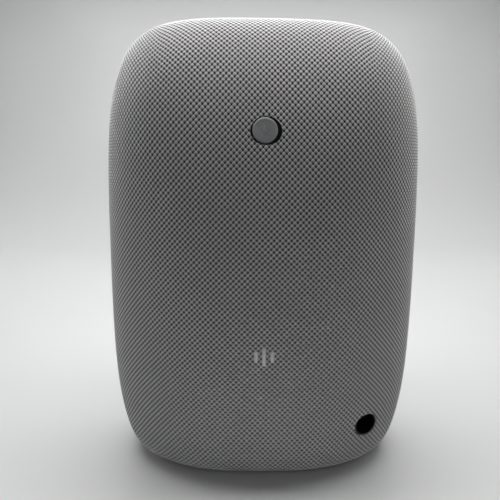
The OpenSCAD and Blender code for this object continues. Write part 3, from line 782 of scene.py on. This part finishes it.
def make_surround():
    """The rubber roll round the cone, with its flat lip on the basket."""
    low, high = box_mm("woofer_surround")
    outer, lip_y, roll_r = high[0], low[1], high[1] - low[1]
    rubber, lip_w, sectors = 0.5, 0.9, 12
    middle = outer - roll_r - lip_w
    over = arc(middle, lip_y, roll_r, math.pi, math.asin(rubber / roll_r))
    under = arc(middle, lip_y, roll_r - rubber, 0, math.pi)
    profile = np.array(over + [(outer, lip_y + rubber), (outer, lip_y)] + under)
    middle_z = (low[2] + high[2]) / 2
    return make_sectors("surround", profile, middle_z, sectors, middle - roll_r, middle + roll_r)


# ---- Materials ----


class Nodes:
    """Short calls for building a material's node tree."""

    def __init__(self, name):
        self.material = bpy.data.materials.new(name)
        self.material.use_nodes = True
        self.tree = self.material.node_tree
        self.shader = self.tree.nodes["Principled BSDF"]

    def put(self, socket, value):
        if isinstance(value, bpy.types.NodeSocket):
            self.tree.links.new(value, socket)
        else:
            socket.default_value = value

    def add(self, kind, settings=None, **inputs):
        """A new node's first output. An input called i0 is the first, and _ stands for a space."""
        node = self.tree.nodes.new(kind)
        for key, value in (settings or {}).items():
            setattr(node, key, value)
        for key, value in inputs.items():
            slot = int(key[1:]) if key[1:].isdigit() else key.replace("_", " ")
            self.put(node.inputs[slot], value)
        return node.outputs[0]

    def math(self, operation, a, b=0.0):
        return self.add("ShaderNodeMath", {"operation": operation}, i0=a, i1=b)

    def ramp(self, value, start, end, low=0.0, high=1.0):
        """A smooth step from low, where value is start, to high, where it is end."""
        settings = {"interpolation_type": "SMOOTHSTEP"}
        return self.add("ShaderNodeMapRange", settings, i0=value, i1=start, i2=end, i3=low, i4=high)

    def mix(self, factor, a, b):
        mixed = self.add("ShaderNodeMix", {"data_type": "RGBA"}, Factor=factor, A=a, B=b)
        return mixed.node.outputs["Result"]

    def place(self):
        """Where a point is, in metres, in the piece's own frame."""
        return self.tree.nodes.new("ShaderNodeTexCoord").outputs["Object"]

    def split(self, vector):
        """The x, y and z of a vector."""
        return self.add("ShaderNodeSeparateXYZ", Vector=vector).node.outputs

    def noise(self, scale, detail=2.0, roughness=0.5, vector=None):
        return self.add(
            "ShaderNodeTexNoise", Scale=scale, Detail=detail, Roughness=roughness,
            Vector=vector or self.place(),
        )

    def bump(self, height, distance):
        return self.add("ShaderNodeBump", Height=height, Distance=distance, Strength=1.0)

    def set(self, **inputs):
        for key, value in inputs.items():
            self.put(self.shader.inputs[key.replace("_", " ")], value)
        return self.material


def grey(value, warmth=0.0):
    """A grey, warmer above 0 and colder below."""
    return (value * (1 + warmth), value, value * (1 - warmth), 1)


def from_hole(m, s, w):
    """How far a place on the knit lies from the middle of the nearest hole's painted shade, a little above
    the hole.
    """
    squares = []
    for value in (s, w):
        shifted = m.math("ADD", value, HOLE_SHADE_SHIFT)
        away = m.math("SUBTRACT", shifted, m.math("ROUND", shifted))
        squares.append(m.math("MULTIPLY", away, away))
    return m.math("SQRT", m.math("ADD", *squares))


def strands(m, s, w):
    """The yarn's twist. Each diamond is one yarn over another, and the upper one's way alternates."""
    cell_s, cell_w = m.math("FLOOR", s), m.math("FLOOR", w)
    turned = m.math("MODULO", m.math("ABSOLUTE", m.math("ADD", cell_s, cell_w)), 2.0)
    other = m.math("SUBTRACT", 1.0, turned)
    along = m.math("ADD", m.math("MULTIPLY", s, turned), m.math("MULTIPLY", w, other))
    across = m.math("SUBTRACT", m.math("ADD", s, w), along)
    wound = m.math("ADD", m.math("MULTIPLY", across, 4.0), along)
    return m.math("SINE", m.math("MULTIPLY", wound, 2 * math.pi))


def fabric_material():
    """Grey knit with a heathered yarn. Painted shade darkens the holes, which also stand for the dark
    backing seen through them, and each diamond's lower edges; painted highlight lightens its upper edges,
    most where they cross, as light from above would.
    """
    m = Nodes("knit")
    u, v, _ = m.split(m.add("ShaderNodeUVMap", {"uv_map": "knit"}))
    s = m.math("MULTIPLY", m.math("ADD", u, v), 0.5)
    w = m.math("MULTIPLY", m.math("SUBTRACT", v, u), 0.5)
    share_s, share_w = m.math("FRACT", s), m.math("FRACT", w)

    # Painted highlight: a light band along each diamond's upper edges, where light from above would fall on
    # the yarn
    def painted_edge_highlight(share):
        return m.math("MULTIPLY", m.ramp(share, 0.08, 0.17), m.ramp(share, 0.38, 0.26))

    highlight_s, highlight_w = painted_edge_highlight(share_s), painted_edge_highlight(share_w)
    line = m.math("MAXIMUM", highlight_s, highlight_w)
    # Painted highlight, brighter still, where two of these bands cross just below each hole
    cross = m.math("MULTIPLY", highlight_s, highlight_w)
    # Painted shade on each diamond's lower edges, which face down away from the light, deepest near the
    # holes
    below = m.ramp(m.math("MAXIMUM", share_s, share_w), 0.78, 0.94)
    # Painted shade: each hole is darkened nearly to black, partly for the dark backing seen through it and
    # partly as shade in its pit
    away = from_hole(m, s, w)
    hole_backing_and_shade = m.ramp(away, 0.33, 0.20)
    painted_lower_shade = m.math("MULTIPLY", below, m.ramp(away, 0.75, 0.25, 0.25, 0.8))
    patches = m.noise(38, 3, 0.55)
    yarn = m.noise(1500, 2, 0.6)
    base = m.mix(m.ramp(patches, 0.35, 0.65), grey(0.24, 0.012), grey(0.29, 0.012))
    base = m.mix(m.ramp(yarn, 0.3, 0.7), base, grey(0.36))
    # Painted highlight on the upper edges and brighter where they cross, then painted shade on the lower
    # edges and in the holes
    base = m.mix(line, base, grey(0.66))
    base = m.mix(cross, base, grey(0.95))
    base = m.mix(painted_lower_shade, base, grey(0.04))
    base = m.mix(hole_backing_and_shade, base, grey(0.004))
    fine = m.bump(m.math("ADD", strands(m, s, w), m.math("MULTIPLY", yarn, 2.0)), 0.00003)
    return m.set(
        Base_Color=base,
        Roughness=m.ramp(patches, 0.3, 0.7, 0.55, 0.65),
        Normal=fine,
        Sheen_Weight=0.06,
        Sheen_Roughness=0.4,
        Specular_IOR_Level=0.3,
    )


def edges(m, radius):
    """1 along the edges of a piece and 0 on its faces."""
    bevel = m.add("ShaderNodeBevel", {"samples": 4}, Radius=radius)
    flat = m.tree.nodes.new("ShaderNodeNewGeometry").outputs["Normal"]
    dot = m.add("ShaderNodeVectorMath", {"operation": "DOT_PRODUCT"}, i0=bevel, i1=flat).node
    return m.ramp(dot.outputs["Value"], 0.98, 0.82)


def stretched(m, x, y, z):
    """The piece's own place, stretched by axis, for brushed and fibrous surfaces."""
    return m.add("ShaderNodeMapping", Scale=(x, y, z), Vector=m.place())


def shaded(colour, gain):
    """A colour made lighter or darker."""
    return tuple(min(c * gain, 1) for c in colour[:3]) + (1,)


def moulded(name, colour, roughness=0.5, grain=2600, depth=0.00002, wear=0.35, patch=60, **extra):
    """Moulded or painted surface: fine grain, uneven tone, rubbed and lighter edges."""
    m = Nodes(name)
    tone = m.mix(m.ramp(m.noise(patch, 4, 0.6), 0.3, 0.7), shaded(colour, 0.88), shaded(colour, 1.1))
    speck = m.noise(grain, 2, 0.6)
    tone = m.mix(m.ramp(speck, 0.35, 0.75, 0, 0.25), tone, shaded(colour, 1.5))
    rubbed = m.math("MULTIPLY", edges(m, 0.0005), m.ramp(m.noise(400, 3, 0.6), 0.3, 0.6, wear * 0.4, wear))
    tone = m.mix(rubbed, tone, shaded(colour, 1.9))
    rough = m.ramp(m.noise(patch * 2, 3, 0.6), 0.3, 0.7, roughness - 0.06, roughness + 0.06)
    rough = m.math("ADD", rough, m.math("MULTIPLY", rubbed, -0.12))
    return m.set(Base_Color=tone, Roughness=rough, Normal=m.bump(speck, depth), **extra)


def metal(name, colour, roughness=0.32, stretch=(1, 1, 14), wear=0.4):
    """Bare or plated metal with fine drawing lines, cloudy tone and brighter edges."""
    m = Nodes(name)
    lines = m.noise(900, 3, 0.6, stretched(m, *stretch))
    clouds = m.noise(90, 3, 0.55)
    tone = m.mix(m.ramp(clouds, 0.3, 0.7), shaded(colour, 0.8), shaded(colour, 1.08))
    tone = m.mix(m.math("MULTIPLY", edges(m, 0.0004), wear), tone, shaded(colour, 1.5))
    drawn = m.ramp(lines, 0.3, 0.7, roughness - 0.08, roughness + 0.1)
    rough = m.math("ADD", drawn, m.ramp(clouds, 0.4, 0.7, 0, 0.06))
    return m.set(Base_Color=tone, Roughness=rough, Metallic=1.0, Normal=m.bump(lines, 0.00001))


def circuit(name, colour):
    """Solder mask over copper: traces show as paler lines, with round plated holes."""
    m = Nodes(name)
    turned = m.add("ShaderNodeMapping", Rotation=(math.pi / 2, 0, 0), Vector=m.place())
    traces = m.add(
        "ShaderNodeTexBrick", Vector=turned, Scale=260.0, Mortar_Size=0.03, Brick_Width=1.3, Row_Height=0.35,
    ).node.outputs["Fac"]
    dots = m.add("ShaderNodeTexVoronoi", Scale=230.0, Vector=m.place(), Randomness=0.6)
    via = m.ramp(dots, 0.16, 0.12)
    ring = m.ramp(dots, 0.07, 0.05)
    tone = m.mix(m.ramp(m.noise(120, 3), 0.3, 0.7), shaded(colour, 0.85), shaded(colour, 1.15))
    tone = m.mix(m.math("MULTIPLY", traces, 0.6), tone, shaded(colour, 2.4))
    tone = m.mix(via, tone, (0.62, 0.55, 0.36, 1))
    tone = m.mix(ring, tone, (0.02, 0.02, 0.02, 1))
    rough = m.ramp(m.noise(300, 2), 0.3, 0.7, 0.28, 0.4)
    height = m.math("ADD", traces, via)
    return m.set(Base_Color=tone, Roughness=rough, Normal=m.bump(height, 0.00004))


def striped(name, colour, dark, period, axis, roughness, metallic=0.0, depth=0.00005):
    """Fine parallel lines, as on a winding or a ribbon of conductors."""
    m = Nodes(name)
    wave = m.math("SINE", m.math("MULTIPLY", m.split(m.place())[axis], 2 * math.pi / period))
    tone = m.mix(m.ramp(wave, -0.9, 0.1), dark, colour)
    tone = m.mix(m.ramp(m.noise(200, 3), 0.35, 0.65, 0, 0.35), tone, shaded(colour, 0.7))
    rough = m.ramp(m.noise(500, 2), 0.3, 0.7, roughness - 0.05, roughness + 0.08)
    return m.set(Base_Color=tone, Roughness=rough, Metallic=metallic, Normal=m.bump(wave, depth))


def woven(name, colour, period, roughness=0.85):
    """Plain weave seen from the front, with threads over and under."""
    m = Nodes(name)
    x, _, z = m.split(m.place())
    a, b = (m.math("SINE", m.math("MULTIPLY", part, 2 * math.pi / period)) for part in (x, z))
    weave = m.math("MULTIPLY", a, b)
    tone = m.mix(m.ramp(weave, -0.6, 0.6), shaded(colour, 0.7), shaded(colour, 1.15))
    tone = m.mix(m.ramp(m.noise(150, 3), 0.3, 0.7, 0, 0.3), tone, shaded(colour, 0.6))
    rough = m.ramp(m.noise(400, 2), 0.3, 0.7, roughness - 0.05, roughness + 0.05)
    return m.set(Base_Color=tone, Roughness=rough, Normal=m.bump(weave, 0.00008))


def fibrous(name, colour, roughness=0.8):
    """Pressed paper: long soft fibres and flecks."""
    m = Nodes(name)
    fibres = m.noise(700, 5, 0.7, stretched(m, 1, 6, 2))
    flecks = m.noise(1800, 2, 0.5)
    tone = m.mix(m.ramp(fibres, 0.35, 0.7), shaded(colour, 0.8), shaded(colour, 1.35))
    tone = m.mix(m.ramp(flecks, 0.68, 0.78, 0, 0.5), tone, shaded(colour, 3.0))
    rough = m.ramp(fibres, 0.3, 0.7, roughness - 0.08, roughness + 0.05)
    return m.set(Base_Color=tone, Roughness=rough, Normal=m.bump(m.math("ADD", fibres, flecks), 0.00005))


def cellular(name, colour, roughness=0.9, scale=1400, depth=0.00006):
    """Foam, rubber or ferrite: small pits and grains."""
    m = Nodes(name)
    cells = m.add("ShaderNodeTexVoronoi", Scale=scale, Vector=m.place())
    tone = m.mix(m.ramp(cells, 0.1, 0.6), shaded(colour, 0.6), shaded(colour, 1.2))
    tone = m.mix(m.ramp(m.noise(90, 3), 0.35, 0.7, 0, 0.35), tone, shaded(colour, 1.6))
    rough = m.ramp(m.noise(250, 3), 0.3, 0.7, roughness - 0.08, roughness + 0.05)
    return m.set(Base_Color=tone, Roughness=rough, Normal=m.bump(cells, depth))


# Colours between the coil's turns and between the film's conductors
COIL_GAP, FILM_GAP = (0.10, 0.04, 0.02, 1), (0.30, 0.13, 0.03, 1)


def make_materials():
    """One procedural material for each of the record's material slots."""
    colours = {row["slot"]: (*row["base_color"], 1) for row in frame["record"]["materials"]}
    looks = {
        "grey_housing": (moulded, dict(roughness=0.55)),
        "dark_housing": (moulded, dict(roughness=0.6)),
        "silicone": (moulded, dict(roughness=0.72, grain=1500, depth=0.00004, wear=0.15)),
        "pale_plastic": (moulded, dict(roughness=0.34, grain=3200, depth=0.000006, wear=0.2)),
        "knob_plastic": (moulded, dict(roughness=0.42, grain=3600, depth=0.00001, wear=0.3)),
        "black_plastic": (moulded, dict(roughness=0.42, wear=0.2)),
        "orange_label": (moulded, dict(roughness=0.6, grain=2000, wear=0.25)),
        "black_steel": (moulded, dict(roughness=0.45, grain=900, depth=0.00006, wear=0.5)),
        "wire_red": (moulded, dict(roughness=0.38, grain=1200, patch=140)),
        "clear_plastic": (moulded, dict(roughness=0.2, Transmission_Weight=0.9, IOR=1.49)),
        "screw_steel": (metal, dict(roughness=0.34)),
        "tin_plate": (metal, dict(roughness=0.4)),
        "contact_metal": (metal, dict(roughness=0.28)),
        "plated_steel": (metal, dict(roughness=0.36)),
        "dome_metal": (metal, dict(roughness=0.3)),
        "heat_aluminium": (metal, dict(roughness=0.42)),
        "circuit_board": (circuit, {}),
        "copper_coil": (striped, dict(dark=COIL_GAP, period=0.0003, axis=1, roughness=0.3, metallic=1.0)),
        "amber_film": (striped, dict(dark=FILM_GAP, period=0.0008, axis=0, roughness=0.25)),
        "cone_paper": (fibrous, {}),
        "foam_rubber": (cellular, {}),
        "ferrite": (cellular, dict(roughness=0.55, scale=2600, depth=0.00002)),
        "spider_cloth": (woven, dict(period=0.0011)),
    }
    made = {slot: build(slot, colours[slot], **settings) for slot, (build, settings) in looks.items()}
    made["grey_fabric"] = fabric_material()
    return made


def give(piece, material):
    """Makes material the piece's only one."""
    piece.data.materials.clear()
    piece.data.materials.append(material)


# ---- Camera, light and floor ----

# The lens is in millimetres on a sensor SENSOR wide, and the shift is a share of the picture's width
LENS, SENSOR = 34.344, 36.0
SHIFT = (-0.02556, -0.01494)
CAMERA_DISTANCE = 200.0
ELEVATION, AZIMUTH, ROLL = (math.radians(angle) for angle in (9.6, -1.41, 0.622))


def make_camera():
    """The camera looks at the speaker's middle, from behind and slightly above."""
    data = bpy.data.cameras.new("camera")
    camera = bpy.data.objects.new("camera", data)
    bpy.context.scene.collection.objects.link(camera)
    level = math.cos(ELEVATION)
    out = Vector((math.sin(AZIMUTH) * level, -math.cos(AZIMUTH) * level, math.sin(ELEVATION)))
    right = (-out).cross(Vector((0, 0, 1))).normalized()
    up = right.cross(-out)
    turned_right = right * math.cos(ROLL) + up * math.sin(ROLL)
    turned_up = -right * math.sin(ROLL) + up * math.cos(ROLL)
    place = (Vector((0, 0, TOP / 2)) + out * CAMERA_DISTANCE) * MM
    camera.matrix_world = Matrix(
        [[turned_right[i], turned_up[i], out[i], place[i]] for i in range(3)] + [[0, 0, 0, 1]]
    )
    data.sensor_width, data.lens = SENSOR, LENS
    data.shift_x, data.shift_y = SHIFT
    data.clip_start, data.clip_end = 0.01, 20
    bpy.context.scene.camera = camera


def make_stage():
    """A pale table that sweeps up into a backdrop, in metres."""
    half_w, radius, front, back, height = 1.6, 0.3, -1.2, 0.42, 1.6
    line = [(front, 0)] + [
        (back + radius * math.sin(a), radius - radius * math.cos(a))
        for a in np.linspace(0, math.pi / 2, 24)
    ] + [(back + radius, height)]
    points = [(x / MM, y / MM, z / MM) for y, z in line for x in (-half_w, half_w)]
    faces = [[2 * i, 2 * i + 1, 2 * i + 3, 2 * i + 2] for i in range(len(line) - 1)]
    table = new_mesh("table", points, faces)
    m = Nodes("table")
    specks = m.noise(700, 3, 0.6)
    give(table, m.set(
        Base_Color=m.mix(specks, grey(0.812, -0.003), grey(0.820, -0.003)),
        Roughness=m.ramp(specks, 0.3, 0.7, 0.29, 0.32),
        Specular_IOR_Level=0.5,
    ))


def area_light(name, place, target, width, height, power, spread=math.pi):
    """A soft light that the camera doesn't see, aimed from place to target in metres."""
    data = bpy.data.lights.new(name, "AREA")
    data.shape = "RECTANGLE"
    data.size, data.size_y, data.energy, data.spread = width, height, power, spread
    light = bpy.data.objects.new(name, data)
    light.location = place
    light.rotation_mode = "QUATERNION"
    light.rotation_quaternion = (Vector(target) - Vector(place)).to_track_quat("-Z", "Y")
    light.visible_camera = False
    bpy.context.scene.collection.objects.link(light)


def make_lights():
    """Plain studio light: one soft box over the backdrop, and low ones for the floor and the sides."""
    world = bpy.data.worlds.new("studio")
    world.use_nodes = True
    background = world.node_tree.nodes["Background"].inputs
    background["Color"].default_value = (0.92, 0.93, 0.95, 1)
    background["Strength"].default_value = 0.05
    bpy.context.scene.world = world
    area_light("overhead", (0, 0.28, 0.48), (0, 0.28, 0), 0.9, 0.4, 2.15)
    area_light("backdrop", (0, 0.02, 0.46), (0, 0.80, 0.42), 1.0, 0.15, 1.4)
    area_light("floor", (0, -0.115, 0.12), (0, -0.115, 0), 0.34, 0.05, 0.035, math.radians(50))
    area_light("front", (0, -0.21, 0.13), (0, -0.19, 0), 0.5, 0.12, 0.085)
    area_light("strip", (0, -0.015, 0.24), (0, -0.015, 0), 0.30, 0.06, 0.43)
    for side, x in (("left", -0.7), ("right", 0.7)):
        area_light(side, (x, 0.30, 0.30), (0, 0, 0.09), 0.4, 0.4, 0.8)


make_camera()
make_stage()
make_lights()

materials = make_materials()
for node in frame["nodes"].values():
    for slot in node.material_slots:
        slot.material = materials[slot.material.name.split(".")[0]]


def add_piece(piece, slot, body, *nodes):
    """Finishes a piece: its material, the body it rides on and the CAD nodes it stands for."""
    give(piece, materials[slot])
    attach(piece, body)
    if nodes:
        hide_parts(*nodes)


sleeve = make_sleeve()
fibres = make_fibres()
add_piece(sleeve, "grey_fabric", SHELL, "fabric_sleeve")
add_piece(fibres, "grey_fabric", SHELL)
add_piece(make_knob(), "knob_plastic", "mute_slide", "mute_knob")
for bar in make_emblem():
    add_piece(bar, "pale_plastic", SHELL, "emblem")
add_piece(make_foot(), "silicone", SHELL, "foot_pad")
for slot, node, sectors in (
    ("spider_cloth", "woofer_spider", make_spider()),
    ("foam_rubber", "woofer_surround", make_surround()),
):
    for piece, start, end in sectors:
        give(piece, materials[slot])
        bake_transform(piece)
        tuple(start)
        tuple(end)
        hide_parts(node)

bpy.context.scene.view_settings.view_transform = "Standard"
